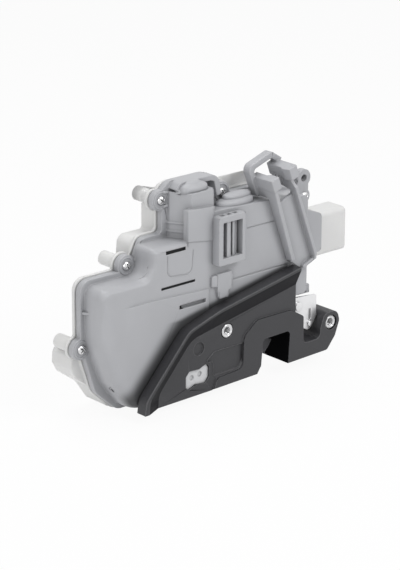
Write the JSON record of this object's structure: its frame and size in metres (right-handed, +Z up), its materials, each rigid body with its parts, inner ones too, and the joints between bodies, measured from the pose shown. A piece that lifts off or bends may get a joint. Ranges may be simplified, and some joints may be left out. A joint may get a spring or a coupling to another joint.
{
  "type": "door latch actuator",
  "caption": "Vehicle door latch with built-in lock drive: stepped moulded housing, claw and pawl latch with striker mouth, cable bracket and side connector.",
  "frame": {"origin": "centre of the left fixing insert's mouth, on the latch face", "axes": "+X along the unit towards the connector, +Y from the latch face to the back, +Z up"},
  "size_m": [0.2144, 0.0476, 0.1337],
  "materials": {
    "grey_plastic": "smooth moulded, light grey",
    "white_plastic": "smooth moulded, milky white",
    "black_plastic": "satin moulded, black",
    "black_rubber": "soft black",
    "bright_steel": "bright plated",
    "black_steel": "black coated",
    "zinc_steel": "zinc plated, bright",
    "brass": "plain brass",
    "natural_plastic": "natural bearing plastic"
  },
  "bodies": {
    "unit": {"front_housing": "grey_plastic", "housing_seal": "black_rubber", "rear_cover": "white_plastic", "housing_screws": "bright_steel", "connector_housing": "white_plastic", "connector_pins": "brass", "guide_frame": "grey_plastic", "cable_bracket": "grey_plastic", "latch_housing": "black_plastic", "latch_backplate": "black_steel", "thread_insert_left": "bright_steel", "thread_insert_right": "bright_steel", "claw_pivot_pin": "bright_steel", "pawl_pivot_pin": "bright_steel", "claw_spring": "bright_steel", "pawl_spring": "bright_steel", "striker_bumper": "black_rubber", "release_lever_rivet": "zinc_steel", "motor_case": "zinc_steel", "motor_end_cap": "black_plastic", "wheel_axle": "bright_steel", "lock_lever_axle": "bright_steel", "microswitches": "black_plastic", "switch_tips": "natural_plastic", "lead_frame": "brass"},
    "claw": {"claw": "black_steel"},
    "pawl": {"pawl": "black_steel"},
    "release_lever": {"release_lever": "zinc_steel"},
    "release_link": {"release_link": "zinc_steel"},
    "emergency_lock_rotor": {"emergency_lock_rotor": "white_plastic"},
    "motor_worm": {"motor_worm": "brass"},
    "worm_wheel": {"worm_wheel": "natural_plastic"},
    "lock_lever": {"lock_lever": "natural_plastic"}
  },
  "joints": [
    {"name": "claw_turn", "type": "hinge", "parent": "unit", "child": "claw", "pos_m": [0.022, 0.0099, -0.0073], "axis": [0, -1, 0], "range_deg": [0, 42], "stiffness_Nm_per_rad": 0.05, "springref_deg": -22.92, "deforming": ["claw_spring"]},
    {"name": "release_pull", "type": "hinge", "parent": "unit", "child": "release_lever", "pos_m": [0.0602, 0.00565, -0.0005], "axis": [0, 1, 0], "range_deg": [0, 12], "stiffness_Nm_per_rad": 0.03, "springref_deg": -11.46, "deforming": ["pawl_spring"]},
    {"name": "link_slide", "type": "slide", "parent": "unit", "child": "release_link", "axis": [-1, 0, 0], "range_m": [0, 0.00138]},
    {"name": "pawl_lift", "type": "hinge", "parent": "unit", "child": "pawl", "pos_m": [0.001, 0.0099, -0.0099], "axis": [0, 1, 0], "range_deg": [0, 12]},
    {"name": "rotor_turn", "type": "hinge", "parent": "unit", "child": "emergency_lock_rotor", "pos_m": [-0.0225, 0.0024, -0.0228], "axis": [0, -1, 0], "range_deg": [0, 45]},
    {"name": "wheel_turn", "type": "hinge", "parent": "unit", "child": "worm_wheel", "pos_m": [-0.03185, 0.0178, 0.04], "axis": [0, -1, 0], "range_deg": [0, 144]},
    {"name": "worm_spin", "type": "hinge", "parent": "unit", "child": "motor_worm", "pos_m": [-0.0162, 0.0178, 0.04], "axis": [0, 0, -1], "range_deg": [0, 3456]},
    {"name": "lock_swing", "type": "hinge", "parent": "unit", "child": "lock_lever", "pos_m": [-0.04043, 0.0107, 0.01641], "axis": [0, 1, 0], "range_deg": [0, 36]}
  ],
  "couplings": [
    {"joint": "link_slide", "follows": "release_pull", "m_per_rad": 0.006589},
    {"joint": "pawl_lift", "follows": "release_pull", "ratio": 1},
    {"joint": "worm_spin", "follows": "wheel_turn", "ratio": 24},
    {"joint": "lock_swing", "follows": "wheel_turn", "ratio": 0.25}
  ]
}
